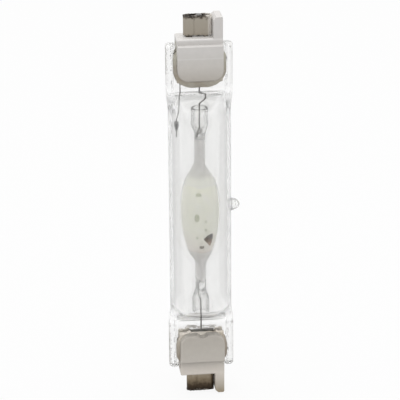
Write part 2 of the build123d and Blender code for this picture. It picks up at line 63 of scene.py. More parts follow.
# Outer bulb
TUBE_RADIUS = 12.6 * MM
BORE_RADIUS = 11.1 * MM
SHOULDER_LENGTH = 9.0 * MM
PINCH_LENGTH = 19.6 * MM
PINCH_HALF_WIDTH = 13.4 * MM
WEB_HALF = 1.5 * MM
BEAD_HALF = 2.6 * MM
BEAD_WIDTH = 3.1 * MM
BEAD_BLEND = 0.9 * MM
END_ROUND = 0.9 * MM
END_ROWS = 6
SLIT_HALF_WIDTH = 10.3 * MM
SLIT_HALF = 1.0 * MM
SLIT_SETBACK = 0.9 * MM
SLIT_ROUND = 0.5 * MM
TIP_HEIGHT = 1.0 * MM
TIP_PROJECTION = 3.5 * MM
TIP_RADIUS = 2.4 * MM
TIP_SKIRT = 1.35  # where the tip's foot ends, in tip radii
TIP_ROWS = 1.5  # how far the fine rows round the tip reach, in tip radii
TIP_POWER = 3
TIP_TAPER = 0.1
TIP_FOOT = 0.18
CORNER_SHARE = 0.6
CORNER_POWER = 2.6
SLIT_CLOSING = 0.6
SLIT_ROWS = 4
FINE_STEP = 0.25 * MM
SHOULDER_STEP = 0.6 * MM
PINCH_STEP = 2 * MM
TUBE_STEP = 10 * MM
BULB_SIDES = 400
PINCH_START = BULB_HIGH.z - MIDDLE - PINCH_LENGTH
TUBE_END = PINCH_START - SHOULDER_LENGTH

# Arc tube
ARC_DROP = 0.5 * MM
ARC_RADIUS = 8.15 * MM
ARC_UPPER_HALF = 19.5 * MM
ARC_LOWER_HALF = 22.8 * MM
ARC_WALL = 1.2 * MM
SEAL_HALF_WIDTH = 4.1 * MM
SEAL_HALF = 1.8 * MM
SEAL_TURN = math.radians(102)
UPPER_FLARE_LENGTH = 6.2 * MM
LOWER_FLARE_LENGTH = 4.3 * MM
FLARE_REACH = 0.5 * MM
FLARE_CURVE = 1.25
ARC_MELT = 1.3 * MM
STUB_MELT = 0.4 * MM
FUNNEL_LENGTH = 4.2 * MM
STUB_LENGTH = 6.6 * MM
STUB_RADIUS = 3.5 * MM
STUB_WALL = 0.9 * MM
UPPER_CLEAR = 12.0 * MM  # the length at each end whose faces are the stub's quartz
LOWER_CLEAR = 15.0 * MM
STUB_BORE = [  # depth below the rim, share of the bore's radius
    (2 * MM, 1),
    (STUB_LENGTH - 0.4 * MM, 1),
    (STUB_LENGTH + 0.4 * MM, 0.95),
    (STUB_LENGTH + FUNNEL_LENGTH * 0.9, 0.27),
    (STUB_LENGTH + FUNNEL_LENGTH, 0.13),
]
RIM_STEPS = 6
MELT_STEPS = 3
ARC_SIDES = 96
ARC_STEP = 0.5 * MM
HOLLOW_STEPS = 60
HOLLOW_CLOSE = 0.985
ARC_MIDDLE = MIDDLE - ARC_DROP

# Finish of the arc tube: heights between which each one comes in
UPPER_COAT = (ARC_MIDDLE + 14.2 * MM, ARC_MIDDLE + 16.0 * MM)
LOWER_COAT = (ARC_MIDDLE - 16.0 * MM, ARC_MIDDLE - 21.0 * MM)
UPPER_FROST = (ARC_MIDDLE + 9.5 * MM, ARC_MIDDLE + 12.5 * MM)
LOWER_FROST = (ARC_MIDDLE - 15.5 * MM, ARC_MIDDLE - 17.5 * MM)
UPPER_STUB = (ARC_HIGH.z - 12.8 * MM, ARC_HIGH.z - 11.2 * MM)
LOWER_STUB = (ARC_LOW.z + 16.5 * MM, ARC_LOW.z + 13.5 * MM)
LOW_FILM = (ARC_MIDDLE - 7 * MM, ARC_MIDDLE - 17 * MM)

# Salt and drops on the arc tube's inner wall
WALL_SOAK = 0.1 * MM
SALT_VOXEL = 0.12 * MM
SALT_GRAIN = 0.6 * MM
SALT_RELIEF = 0.06 * MM
SALT_LEAN = 0.9 * MM
SALT_FOOT = 1.3
DROP_RISE = 0.16 * MM
DROP_GRAIN = 0.5 * MM
DROP_RAGGED = 0.15 * MM
DROP_DETAIL = 3
GREY, GLINT, DARK, FAINT = 0, 1, 2, 3
DROPS = [  # height above the lamp's middle, degrees round from the front, width, height, tone
    (7.9 * MM, -11.5, 2.3 * MM, 1.8 * MM, GREY),
    # The pale drop is a painted highlight on the wall.
    (3.4 * MM, -14.5, 1.5 * MM, 1.1 * MM, GLINT),
    (-1.7 * MM, -16.5, 2.0 * MM, 3.4 * MM, GREY),
    (-3.4 * MM, 12.0, 1.1 * MM, 1.3 * MM, FAINT),
    (-7.1 * MM, 13.0, 1.2 * MM, 1.4 * MM, FAINT),
    (-10.6 * MM, -17.0, 1.2 * MM, 1.3 * MM, FAINT),
    (-14.8 * MM, 0.0, 1.9 * MM, 1.7 * MM, DARK),
]

# Getter
GETTER_VOXEL = 0.1 * MM
GETTER_RELIEF = 0.16 * MM
GETTER_GRAIN = 0.7 * MM
GETTER_TAIL = 0.6
GETTER_TAIL_WIDTH = 0.3

# Weld crust on the contacts
CONTACT_WALL = 0.5 * MM
CRUST_HALF = 0.3 * MM
CRUST_LIFT = 0.9
CRUST_RUN = 2.2
CRUST_GRAIN = 0.7 * MM
CRUST_RAGGED = 0.6
CRUST_BRIGHT_UPPER = 0.35
CRUST_STEPS = 260
CRUST_SIDES = 10

# Cement
CEMENT_VOXEL = 0.3 * MM
CEMENT_GRAIN = 2.2 * MM
CEMENT_RELIEF = 0.12 * MM
CEMENT_SWELL = 0.1 * MM
NOTCH_MIDDLE = 0.5 * MM
NOTCH_HALF = 4.5 * MM
NOTCH_FADE = 1.0 * MM
NOTCH_REACH = 4.0 * MM
NO_NOTCH = (0.0, 0.0)  # depth of the notch in front and behind
LOWER_NOTCH = (1.1 * MM, 3.0 * MM)

# Dimension, lacunarity and octaves of the noise that shapes rough skins
SOFT_FRACTAL = (0.8, 2.0, 3)
ROUGH_FRACTAL = (0.9, 2.0, 3)

# Finish of the outer bulb
DRAW_GRAIN = 4 * MM
DRAW_STRETCH = (1.0, 1.0, 0.06)
PRESS_BLEND = 2 * MM
TIP_BLEND = 0.6 * MM
RIPPLE_GRAIN = 2.5 * MM
RIPPLE_RELIEF = 0.9 * MM
CORNER_SIDE = (8.5 * MM, 10.5 * MM)
CORNER_RISE = (TUBE_END + 1 * MM, TUBE_END + 3 * MM)
CORNER_FADE = 0.5
GLASS_ALPHA = 0.9
CUT_GRAIN = 0.8 * MM
CUT_RELIEF = 0.2 * MM
CUT_TINT = (0.93, 0.93, 0.92, 1)
CUT_CLEAR = 0.75

# Finish of the other pieces: grain, relief and reach
WANDER_GRAIN = 5 * MM
WANDER = 2.4 * MM
COAT_GRAIN = 3 * MM
COAT_COVER = 0.82
FROST_ROUGHNESS, BODY_ROUGHNESS = 0.3, 0.06
STUB_ALPHA_GAIN = 0.04
FILM_GRAIN = 7 * MM
CERAMIC_MOTTLE = 2.2 * MM
CERAMIC_PORE, CERAMIC_RELIEF = 0.35 * MM, 0.02 * MM
PATCH_GRAIN = 6 * MM
CEMENT_PORE, CEMENT_PORE_DEPTH = 0.7 * MM, 0.15 * MM
HEAT_AND_SHADE_GRAIN = 1.6 * MM
HEAT_AND_SHADE_SMEAR = 0.36
SHEEN_GRAIN = 0.8 * MM
SHEEN_RANGE, SHEEN_BASE = 0.25, 0.3
DENT_GRAIN, DENT_RELIEF = 1.2 * MM, 0.05 * MM
# The span at the contact's right end that is painted lighter: painted light over the shaded crevice at the
# key, with pale solder there.
LIT_END_START, LIT_END_STOP = 1.9 * MM, 0.7 * MM  # from the contact's right end
DROSS_START, DROSS_END = 3.5 * MM, 1.0 * MM
DROSS_GRAIN = 1.5 * MM
LUMP_GRAIN, LUMP_RELIEF = 0.4 * MM, 0.08 * MM
SCRATCH_RELIEF = 0.02 * MM
MOTTLE_GRAIN = 0.9 * MM
SALT_SMEAR_GRAIN, SALT_SMEAR = 1.2 * MM, 3.0 * MM
GETTER_SMEAR_GRAIN, GETTER_SMEAR, GETTER_RISE = 1.0 * MM, 2.5 * MM, 1.2 * MM

# Optics: the arc tube bends light little, so that its film shows nearly as wide as the tube
QUARTZ_IOR = 1.458
ARC_IOR = 1.1
# Greys for the glass's edges: painted shade where the glass is seen along its wall.
TUBE_LIMB = (0.5, 0.9, 0.45)
STUB_LIMB = (0.3, 0.7, 0.1)
WHITE = (1.0, 1.0, 1.0)

# Tones, as (position, colour): over a height from low to high, or over noise
# Upper base: darker towards the plate's lower end as painted shade, with some heat tint. The light band at
# 0.40 is a painted highlight on the plate's mould line. The light band from 0.645 to 0.69 is painted light on
# the step's top face, against the shade of the contact and the key.
CERAMIC_UPPER = [
    (0.03, (0.32, 0.295, 0.262)), (0.28, (0.42, 0.40, 0.375)),
    (0.385, (0.43, 0.413, 0.392)), (0.40, (0.475, 0.462, 0.448)),
    (0.415, (0.44, 0.425, 0.405)), (0.5, (0.46, 0.445, 0.43)),
    (0.645, (0.46, 0.445, 0.43)), (0.66, (0.53, 0.515, 0.50)),
    (0.672, (0.53, 0.515, 0.50)), (0.69, (0.46, 0.445, 0.43)),
]
# Lower base: darker towards the tab's end as painted shade, since the light falls from above. Darker towards
# the plate's top as heat tint near the bulb.
CERAMIC_LOWER = [
    (0.0, (0.25, 0.205, 0.14)), (0.1, (0.34, 0.305, 0.25)), (0.34, (0.52, 0.48, 0.435)),
    (0.54, (0.40, 0.375, 0.34)), (0.95, (0.36, 0.335, 0.30)),
]
CERAMIC_GRAIN = [(0.3, (0.95, 0.95, 0.95)), (0.7, WHITE)]
CEMENT_UPPER = [(0.0, (0.46, 0.43, 0.37)), (0.4, (0.30, 0.275, 0.235)), (0.8, (0.36, 0.35, 0.30))]
# Lower cement: lighter towards its top as painted light on the face turned up, and darker down in the slot
# between the plates as painted shade.
CEMENT_LOWER = [(0.2, (0.26, 0.225, 0.19)), (0.7, (0.34, 0.305, 0.265)), (1.0, (0.72, 0.68, 0.62))]
CEMENT_PATCHES = [(0.35, (0.78, 0.74, 0.68)), (0.5, (0.95, 0.94, 0.93)), (0.65, (1.0, 1.0, 0.97))]
# Upper contact: the dark band at its lower edge is painted shade of the gap where it stands on the ceramic.
# The dark band at its top is the scorched rim.
NICKEL_UPPER = [
    (0.17, (0.06, 0.05, 0.04)), (0.26, (0.32, 0.285, 0.235)), (0.88, (0.34, 0.31, 0.26)),
    (0.95, (0.12, 0.10, 0.08)), (1.0, (0.03, 0.025, 0.02)),
]
# Lower contact: darker towards its lower end as painted shade, since the light falls from above, with scorch
# from the weld at the rim.
NICKEL_LOWER = [
    (0.15, (0.36, 0.315, 0.245)), (0.5, (0.21, 0.165, 0.11)), (0.75, (0.06, 0.042, 0.026)),
    (1.0, (0.015, 0.01, 0.006)),
]
# Painted light, with pale solder, for the shaded right end of the upper contact.
NICKEL_LIT_END = (0.95, 0.92, 0.87)
CRUST_TONES = [(0.42, (0.025, 0.02, 0.016)), (0.6, (0.16, 0.14, 0.12)), (0.72, (0.5, 0.47, 0.43))]
DRAW_LINES = [(0.35, (0.905, 0.905, 0.90)), (0.65, (0.922, 0.922, 0.917))]
SHOULDER_TINT = (0.97, 0.97, 0.965)
ARC_TINT, STUB_TINT = (0.995, 0.995, 0.985), (0.94, 0.94, 0.935)
# The coats are white; their grey is painted shade.
COAT_TONES = [(0.3, (0.74, 0.73, 0.71)), (0.7, (0.82, 0.81, 0.795))]
FILM_TONES = [(0.32, (0.975, 0.975, 0.885)), (0.5, (0.985, 0.985, 0.875)), (0.68, (0.99, 0.985, 0.915))]
FILM_LOW = (0.93, 0.885, 0.835)
SALT_TONES = [(0.1, (0.46, 0.34, 0.25)), (0.4, (0.18, 0.115, 0.075)), (0.8, (0.03, 0.02, 0.014))]
GETTER_TONES = [
    (0.2, (0.42, 0.42, 0.41)), (0.5, (0.10, 0.10, 0.10)), (0.75, (0.02, 0.02, 0.02)), (1.0, (0.3, 0.3, 0.29)),
]

# Stage and light
FLOOR_HALF = 8.0
FLOOR_GREY = (0.5, 0.5, 0.5, 1)
FLOOR_GLOW = 0.9
SKY = [(0.0, (1.15, 1.15, 1.15)), (0.5, (1.4, 1.4, 1.4)), (1.0, (1.9, 1.9, 1.9))]
SKY_LOW, SKY_HIGH = -0.1, 1.0
SOFTBOXES = [  # name, place, size, power
    ("key", (-0.12, -0.45, 0.62), 0.5, 0.4),
    ("top", (0.0, 0.05, 0.75), 0.5, 0.8),
]

# Camera, found from the photo's silhouette
CAMERA_AZIMUTH = math.radians(-6.5)
CAMERA_ELEVATION = math.radians(21.15)
CAMERA_DISTANCE = 0.871
CAMERA_ROLL = math.radians(-0.46)
CAMERA_LENS = 193.3
SENSOR_WIDTH = 36.0
AIM_HEIGHT = MIDDLE + 3.3 * MM


# ---------------------------------------------------------------- materials

def new_material(name):
    """Empty node material with a Principled shader; returns the material, its tree and the shader."""
    material = bpy.data.materials.new(name)
    material.use_nodes = True
    tree = material.node_tree
    return material, tree, tree.nodes["Principled BSDF"]


def along(tree, axis):
    """Socket with the place of the shaded point along an axis, in metres."""
    place = tree.nodes.new("ShaderNodeTexCoord")
    split = tree.nodes.new("ShaderNodeSeparateXYZ")
    tree.links.new(place.outputs["Object"], split.inputs[0])
    return split.outputs[axis]


def height_of(tree):
    """Socket with the height of the shaded point above the floor, in metres."""
    return along(tree, "Z")


def noise_of(tree, size, detail=4.0, distortion=0.0):
    """Socket with noise whose grain is about the given size in metres."""
    place = tree.nodes.new("ShaderNodeTexCoord")
    grain = tree.nodes.new("ShaderNodeTexNoise")
    grain.inputs["Scale"].default_value = 1 / size
    grain.inputs["Detail"].default_value = detail
    grain.inputs["Distortion"].default_value = distortion
    tree.links.new(place.outputs["Object"], grain.inputs["Vector"])
    return grain.outputs["Fac"]


def arithmetic(tree, operation, first, second):
    """Socket with the result of an operation; each side is a socket or a number."""
    node = tree.nodes.new("ShaderNodeMath")
    node.operation = operation
    for socket, value in zip(node.inputs, (first, second)):
        if isinstance(value, (int, float)):
            socket.default_value = value
        else:
            tree.links.new(value, socket)
    return node.outputs[0]


def scaled(tree, value, factor, offset):
    """Socket with a value times a factor, plus an offset."""
    socket = arithmetic(tree, "MULTIPLY_ADD", value, factor)
    socket.node.inputs[2].default_value = offset
    return socket


def smeared_height(tree, grain, reach):
    """Socket with the height, raised by noise of the given grain by up to the given reach."""
    smear = arithmetic(tree, "MULTIPLY", noise_of(tree, grain), reach)
    return arithmetic(tree, "ADD", height_of(tree), smear)


def ramp_of(tree, factor, stops):
    """Colour ramp over a factor; stops are (position, colour)."""
    node = tree.nodes.new("ShaderNodeValToRGB")
    elements = node.color_ramp.elements
    while len(elements) < len(stops):
        elements.new(1.0)
    for element, (position, colour) in zip(elements, stops):
        element.position = position
        element.color = (*colour, 1.0)
    tree.links.new(factor, node.inputs["Fac"])
    return node.outputs["Color"]


def spread(tree, value, low, high):
    """Socket with a value mapped from low..high to 0..1, and held there."""
    node = tree.nodes.new("ShaderNodeMapRange")
    node.inputs["From Min"].default_value = low
    node.inputs["From Max"].default_value = high
    tree.links.new(value, node.inputs["Value"])
    return node.outputs["Result"]


def mixed(tree, factor, first, second, blend="MIX"):
    """Socket with two colours mixed; each is a socket or a colour."""
    node = tree.nodes.new("ShaderNodeMix")
    node.data_type = "RGBA"
    node.blend_type = blend
    for socket, value in zip((node.inputs[0], node.inputs[6], node.inputs[7]), (factor, first, second)):
        if isinstance(value, tuple):
            socket.default_value = (*value, 1.0)
        elif isinstance(value, float):
            socket.default_value = value
        else:
            tree.links.new(value, socket)
    return node.outputs[2]


def bumped(tree, shader, height, distance, strength=1.0):
    """Bump on a shader from a height socket, with the given relief in metres."""
    bump = tree.nodes.new("ShaderNodeBump")
    bump.inputs["Distance"].default_value = distance
    bump.inputs["Strength"].default_value = strength
    tree.links.new(height, bump.inputs["Height"])
    tree.links.new(bump.outputs["Normal"], shader.inputs["Normal"])


def limb(tree, start, end, dark):
    """Colour socket for glass: white, and grey as painted shade for its dark edges where the glass is seen
    along its wall.
    """
    weight = tree.nodes.new("ShaderNodeLayerWeight")
    return ramp_of(tree, weight.outputs["Facing"], [(start, WHITE), (end, (dark, dark, dark))])


def clear_quartz():
    """Clear quartz: faint draw lines on the tube, a ripple on the pressed ends and the tip.

    It is thinner to the eye at the shoulders' corners, where light would be trapped."""
    material, tree, shader = new_material("clear_quartz")
    place = tree.nodes.new("ShaderNodeTexCoord")
    drawn = tree.nodes.new("ShaderNodeVectorMath")
    drawn.operation = "MULTIPLY"
    drawn.inputs[1].default_value = DRAW_STRETCH
    tree.links.new(place.outputs["Object"], drawn.inputs[0])
    lines = tree.nodes.new("ShaderNodeTexNoise")
    lines.inputs["Scale"].default_value = 1 / DRAW_GRAIN
    tree.links.new(drawn.outputs[0], lines.inputs["Vector"])
    tint = ramp_of(tree, lines.outputs["Fac"], DRAW_LINES)
    far = arithmetic(tree, "ABSOLUTE", arithmetic(tree, "SUBTRACT", height_of(tree), MIDDLE), 0.0)
    pressed = spread(tree, far, PINCH_START, PINCH_START + PRESS_BLEND)
    bent = spread(tree, far, TUBE_END + PRESS_BLEND, PINCH_START - PRESS_BLEND)
    shoulder = arithmetic(tree, "SUBTRACT", bent, pressed)
    colour = mixed(tree, shoulder, tint, SHOULDER_TINT)
    colour = mixed(tree, 1.0, colour, limb(tree, *TUBE_LIMB), "MULTIPLY")
    tree.links.new(colour, shader.inputs["Base Color"])
    aside = arithmetic(tree, "ABSOLUTE", along(tree, "X"), 0.0)
    tip = spread(tree, aside, PINCH_HALF_WIDTH, PINCH_HALF_WIDTH + TIP_BLEND)
    ripple = arithmetic(tree, "MULTIPLY", arithmetic(tree, "MAXIMUM", pressed, tip),
                        noise_of(tree, RIPPLE_GRAIN, detail=3.0))
    bumped(tree, shader, ripple, RIPPLE_RELIEF)
    shader.inputs["Transmission Weight"].default_value = 1.0
    shader.inputs["IOR"].default_value = QUARTZ_IOR
    shader.inputs["Roughness"].default_value = 0.0
    corner = arithmetic(tree, "MULTIPLY", spread(tree, aside, *CORNER_SIDE),
                        spread(tree, far, *CORNER_RISE))
    corner = spread(tree, arithmetic(tree, "SUBTRACT", corner, pressed), 0.0, 1.0)
    fade = arithmetic(tree, "MULTIPLY", corner, CORNER_FADE)
    solid = arithmetic(tree, "SUBTRACT", GLASS_ALPHA, fade)
    tree.links.new(solid, shader.inputs["Alpha"])
    return material


def pressed_quartz():
    """Quartz with the frosted skin that pressing and cutting leave on the ends of a pinch."""
    material, tree, shader = new_material("pressed_quartz")
    frost = noise_of(tree, CUT_GRAIN, detail=5.0)
    shader.inputs["Base Color"].default_value = CUT_TINT
    shader.inputs["Transmission Weight"].default_value = CUT_CLEAR
    shader.inputs["IOR"].default_value = QUARTZ_IOR
    tree.links.new(spread(tree, frost, 0.25, 0.75), shader.inputs["Roughness"])
    bumped(tree, shader, frost, CUT_RELIEF)
    return material


def either(tree, value, first, second):
    """Socket that is 1 where a value is past either of two spans, each given as (from, to)."""
    return arithmetic(tree, "MAXIMUM", spread(tree, value, *first), spread(tree, value, *second))


def arc_quartz(name, bending):
    """Quartz of the arc tube: clear stubs, and heat-reflecting coats over its ends and seals, white and toned
    grey as painted shade.
    """
    material, tree, shader = new_material(name)
    wander = scaled(tree, noise_of(tree, WANDER_GRAIN, detail=3.0), WANDER, -WANDER / 2)
    height = arithmetic(tree, "ADD", height_of(tree), wander)
    stub = either(tree, height, UPPER_STUB, LOWER_STUB)
    coat = arithmetic(tree, "SUBTRACT", either(tree, height, UPPER_COAT, LOWER_COAT), stub)
    grey = ramp_of(tree, noise_of(tree, COAT_GRAIN), COAT_TONES)
    colour = mixed(tree, coat, mixed(tree, stub, ARC_TINT, STUB_TINT), grey)
    edge = mixed(tree, stub, WHITE, limb(tree, *STUB_LIMB))
    tree.links.new(mixed(tree, 1.0, colour, edge, "MULTIPLY"), shader.inputs["Base Color"])
    clear = arithmetic(tree, "SUBTRACT", 1.0, arithmetic(tree, "MULTIPLY", coat, COAT_COVER))
    tree.links.new(clear, shader.inputs["Transmission Weight"])
    frost = either(tree, height, UPPER_FROST, LOWER_FROST)
    frost = scaled(tree, frost, FROST_ROUGHNESS, BODY_ROUGHNESS)
    rough = arithmetic(tree, "MULTIPLY", arithmetic(tree, "SUBTRACT", 1.0, stub), frost)
    tree.links.new(rough, shader.inputs["Roughness"])
    shader.inputs["IOR"].default_value = bending
    tree.links.new(scaled(tree, stub, STUB_ALPHA_GAIN, GLASS_ALPHA), shader.inputs["Alpha"])
    return material


def arc_film():
    """Milky yellow-green film of salts on the inner wall of the arc tube."""
    material, tree, shader = new_material("arc_film")
    cloud = noise_of(tree, FILM_GRAIN, detail=5.0, distortion=0.6)
    film = ramp_of(tree, cloud, FILM_TONES)
    low = spread(tree, height_of(tree), *LOW_FILM)
    tree.links.new(mixed(tree, low, film, FILM_LOW), shader.inputs["Base Color"])
    shader.inputs["Roughness"].default_value = 0.7
    return material


def steatite(name, low, high, stops):
    """Fired white ceramic with a fine grain, toned by the heat and by painted light and shade; stops run from
    low to high.
    """
    material, tree, shader = new_material(name)
    tone = ramp_of(tree, spread(tree, height_of(tree), low, high), stops)
    grain = ramp_of(tree, noise_of(tree, CERAMIC_MOTTLE, detail=6.0), CERAMIC_GRAIN)
    tree.links.new(mixed(tree, 1.0, tone, grain, "MULTIPLY"), shader.inputs["Base Color"])
    shader.inputs["Roughness"].default_value = 0.5
    shader.inputs["Specular IOR Level"].default_value = 0.35
    bumped(tree, shader, noise_of(tree, CERAMIC_PORE, detail=3.0), CERAMIC_RELIEF, 0.5)
    return material


def cement(name, low, high, stops):
    """Rough cement, grey-green and brown in patches; stops run from low to high."""
    material, tree, shader = new_material(name)
    tone = ramp_of(tree, spread(tree, height_of(tree), low, high), stops)
    patches = ramp_of(tree, noise_of(tree, PATCH_GRAIN, detail=4.0, distortion=0.4), CEMENT_PATCHES)
    tree.links.new(mixed(tree, 1.0, tone, patches, "MULTIPLY"), shader.inputs["Base Color"])
    shader.inputs["Roughness"].default_value = 0.85
    bumped(tree, shader, noise_of(tree, CEMENT_PORE, detail=6.0), CEMENT_PORE_DEPTH, 0.7)
    return material


def nickel(name, tone_from, tone_to, right_end, bright, stops):
    """Nickel plate with a heat tint and painted shade, lighter at its right end as painted light over its
    shaded crevice, with pale solder there; stops run from tone_from to tone_to.
    """
    material, tree, shader = new_material(name)
    reach = (tone_to - tone_from) * HEAT_AND_SHADE_SMEAR
    smear = scaled(tree, noise_of(tree, HEAT_AND_SHADE_GRAIN, detail=5.0), reach, -reach / 2)
    # The tone ramp holds both heat tint and painted shade.
    heat = spread(tree, arithmetic(tree, "ADD", height_of(tree), smear), tone_from, tone_to)
    near_end = spread(tree, along(tree, "X"), right_end - LIT_END_START, right_end - LIT_END_STOP)
    # Painted light at the right end, where the crevice at the key lies in shade.
    lit_end = arithmetic(tree, "MULTIPLY", near_end, bright)
    colour = mixed(tree, lit_end, ramp_of(tree, heat, stops), NICKEL_LIT_END)
    tree.links.new(colour, shader.inputs["Base Color"])
    shader.inputs["Metallic"].default_value = 0.85
    rough = scaled(tree, noise_of(tree, SHEEN_GRAIN), SHEEN_RANGE, SHEEN_BASE)
    tree.links.new(rough, shader.inputs["Roughness"])
    bumped(tree, shader, noise_of(tree, DENT_GRAIN, detail=5.0), DENT_RELIEF, 0.6)
    return material


def metal(name, dark, light, roughness, grain):
    """Bare metal whose tone varies over the given grain."""
    material, tree, shader = new_material(name)
    colour = ramp_of(tree, noise_of(tree, grain), [(0.35, dark), (0.65, light)])
    tree.links.new(colour, shader.inputs["Base Color"])
    shader.inputs["Metallic"].default_value = 0.8
    shader.inputs["Roughness"].default_value = roughness
    bumped(tree, shader, noise_of(tree, grain / 3), SCRATCH_RELIEF, 0.5)
    return material


def crust(name, right_end, bright):
    """Scorched weld metal, nearly black with paler drops, which gather at its right end."""
    material, tree, shader = new_material(name)
    near_end = spread(tree, along(tree, "X"), right_end - DROSS_START, right_end - DROSS_END)
    pale = arithmetic(tree, "MULTIPLY", near_end, bright)
    burnt = arithmetic(tree, "ADD", noise_of(tree, DROSS_GRAIN, detail=5.0), pale)
    tree.links.new(ramp_of(tree, burnt, CRUST_TONES), shader.inputs["Base Color"])
    shader.inputs["Metallic"].default_value = 0.5
    shader.inputs["Roughness"].default_value = 0.5
    bumped(tree, shader, noise_of(tree, LUMP_GRAIN, detail=5.0), LUMP_RELIEF)
    return material


def deposit(name, dark, light, roughness):
    """Deposit on the inner wall, mottled."""
    material, tree, shader = new_material(name)
    colour = ramp_of(tree, noise_of(tree, MOTTLE_GRAIN), [(0.35, dark), (0.65, light)])
    tree.links.new(colour, shader.inputs["Base Color"])
    shader.inputs["Roughness"].default_value = roughness
    return material


def salt(low, high):
    """Brown salt, darkest towards its top and mottled; its heights run from low to high."""
    material, tree, shader = new_material("halide_salt")
    smear = smeared_height(tree, SALT_SMEAR_GRAIN, SALT_SMEAR)
    tone = ramp_of(tree, spread(tree, smear, low + SALT_SMEAR / 2, high + SALT_SMEAR / 2), SALT_TONES)
    tree.links.new(tone, shader.inputs["Base Color"])
    shader.inputs["Roughness"].default_value = 0.7
    return material


def getter_alloy(low, high):
    """Getter metal, blackened, with a pale foot; its heights run from low to high."""
    material, tree, shader = new_material("getter_alloy")
    smear = smeared_height(tree, GETTER_SMEAR_GRAIN, GETTER_SMEAR)
    tone = ramp_of(tree, spread(tree, smear, low + GETTER_RISE, high + GETTER_RISE), GETTER_TONES)
    tree.links.new(tone, shader.inputs["Base Color"])
    shader.inputs["Metallic"].default_value = 0.7
    shader.inputs["Roughness"].default_value = 0.55
    return material


# ---------------------------------------------------------------- mesh helpers

def smooth(t):
    """Smooth step from 0 to 1."""
    t = min(1.0, max(0.0, t))
    return t * t * (3 - 2 * t)


def lattice(shell, rings, inward=False, slot=0, end_rows=0, end_slot=0):
    """Quads between successive rings, closed across both ends; the end rows may take another slot."""
    rows = [[shell.verts.new(point) for point in ring] for ring in rings]
    count = len(rows[0])
    faces = []
    for level, (lower, upper) in enumerate(zip(rows, rows[1:])):
        at_end = min(level, len(rows) - 2 - level) < end_rows
        for i in range(count):
            j = (i + 1) % count
            faces.append(((lower[i], lower[j], upper[j], upper[i]), end_slot if at_end else slot))
    for row, flip in ((rows[0], True), (rows[-1], False)):
        for i in range(count // 2):
            quad = [row[i], row[i + 1], row[-i - 1], row[-i]] if i else [row[0], row[1], row[-1]]
            if i == count // 2 - 1:
                quad = [row[i], row[i + 1], row[-i]]
            faces.append((tuple(reversed(quad)) if flip else tuple(quad), end_slot if end_rows else slot))
    for corners, index in faces:
        face = shell.faces.new(reversed(corners) if inward else corners)
        face.smooth = True
        face.material_index = index


def make_piece(name, shell, materials, slot_name, *replaced):
    """Object from a bmesh, riding on the lamp and standing for CAD nodes."""
    mesh = bpy.data.meshes.new(name)
    shell.to_mesh(mesh)
    shell.free()
    piece = bpy.data.objects.new(name, mesh)
    bpy.context.scene.collection.objects.link(piece)
    for material in materials:
        mesh.materials.append(material)
    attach(piece, "root")
    if replaced:
        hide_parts(*replaced)
    return piece


def regrown(name, voxel, softening):
    """Bmesh of a CAD node's form, remeshed finely and softened."""
    form = bpy.data.objects.new("form", nodes[name].data.copy())
    bpy.context.scene.collection.objects.link(form)
    remesh = form.modifiers.new("remesh", "REMESH")
    remesh.mode = "VOXEL"
    remesh.voxel_size = voxel
    soften = form.modifiers.new("soften", "SMOOTH")
    soften.iterations = softening
    mesh = bpy.data.meshes.new_from_object(form.evaluated_get(bpy.context.evaluated_depsgraph_get()))
    bpy.data.objects.remove(form)
    shell = bmesh.new()
    shell.from_mesh(mesh)
    bpy.data.meshes.remove(mesh)
    shell.normal_update()
    for face in shell.faces:
        face.smooth = True
    return shell


def dress(name, material):
    """Gives a CAD node its finish."""
    node = nodes[name]
    node.data.materials.clear()
    node.data.materials.append(material)


def ring_points(half_width, half_depth, height, count, turn=0.0):
    """Points of an ellipse at a height."""
    points = []
    for i in range(count):
        angle = 2 * math.pi * i / count
        x, y = half_width * math.cos(angle), half_depth * math.sin(angle)
        points.append(Vector((x * math.cos(turn) - y * math.sin(turn),
                              x * math.sin(turn) + y * math.cos(turn), height)))
    return points


# ---------------------------------------------------------------- outer bulb

def pinch_half_depth(x):
    """Half the thickness of the pinch at a distance from its middle."""
    x = abs(x)
    bead_start = PINCH_HALF_WIDTH - BEAD_WIDTH
    depth = WEB_HALF + (BEAD_HALF - WEB_HALF) * smooth((x - bead_start) / BEAD_BLEND)
    corner = PINCH_HALF_WIDTH - BEAD_HALF * CORNER_SHARE
    if x > corner:
        depth *= math.sqrt(max(0.0, 1 - ((x - corner) / (PINCH_HALF_WIDTH - corner)) ** CORNER_POWER))
    return depth


def bulb_ring(height):
    """Ring of the outer surface at a height above the lamp's middle."""
    level = abs(height)
    blend = smooth((level - TUBE_END) / SHOULDER_LENGTH)
    end = max(0.0, level - (PINCH_START + PINCH_LENGTH - END_ROUND)) / END_ROUND
    inset = END_ROUND * (1 - math.sqrt(max(0.0, 1 - end ** 2)))
    points = []
    for i in range(BULB_SIDES):
        angle = 2 * math.pi * i / BULB_SIDES
        round_point = Vector((TUBE_RADIUS * math.cos(angle), TUBE_RADIUS * math.sin(angle)))
        x = PINCH_HALF_WIDTH * math.cos(angle)
        depth = max(0.0, pinch_half_depth(x) - inset)
        flat_point = Vector((x * (1 - inset / PINCH_HALF_WIDTH), math.copysign(depth, math.sin(angle))))
        if i in (0, BULB_SIDES // 2):
            flat_point.y = 0
        point = round_point.lerp(flat_point, blend)
        reach = math.hypot(point.y, height - TIP_HEIGHT) / TIP_RADIUS
        if point.x > 0 and reach < TIP_SKIRT:
            dome = math.sqrt(max(0.0, 1 - reach ** TIP_POWER)) if reach < 1 else 0.0
            foot = TIP_FOOT * (1 - smooth(reach / TIP_SKIRT))
            point.x += TIP_PROJECTION * max(dome * (1 - TIP_TAPER * reach), foot)
        points.append(Vector((point.x, point.y, MIDDLE + height)))
    return points


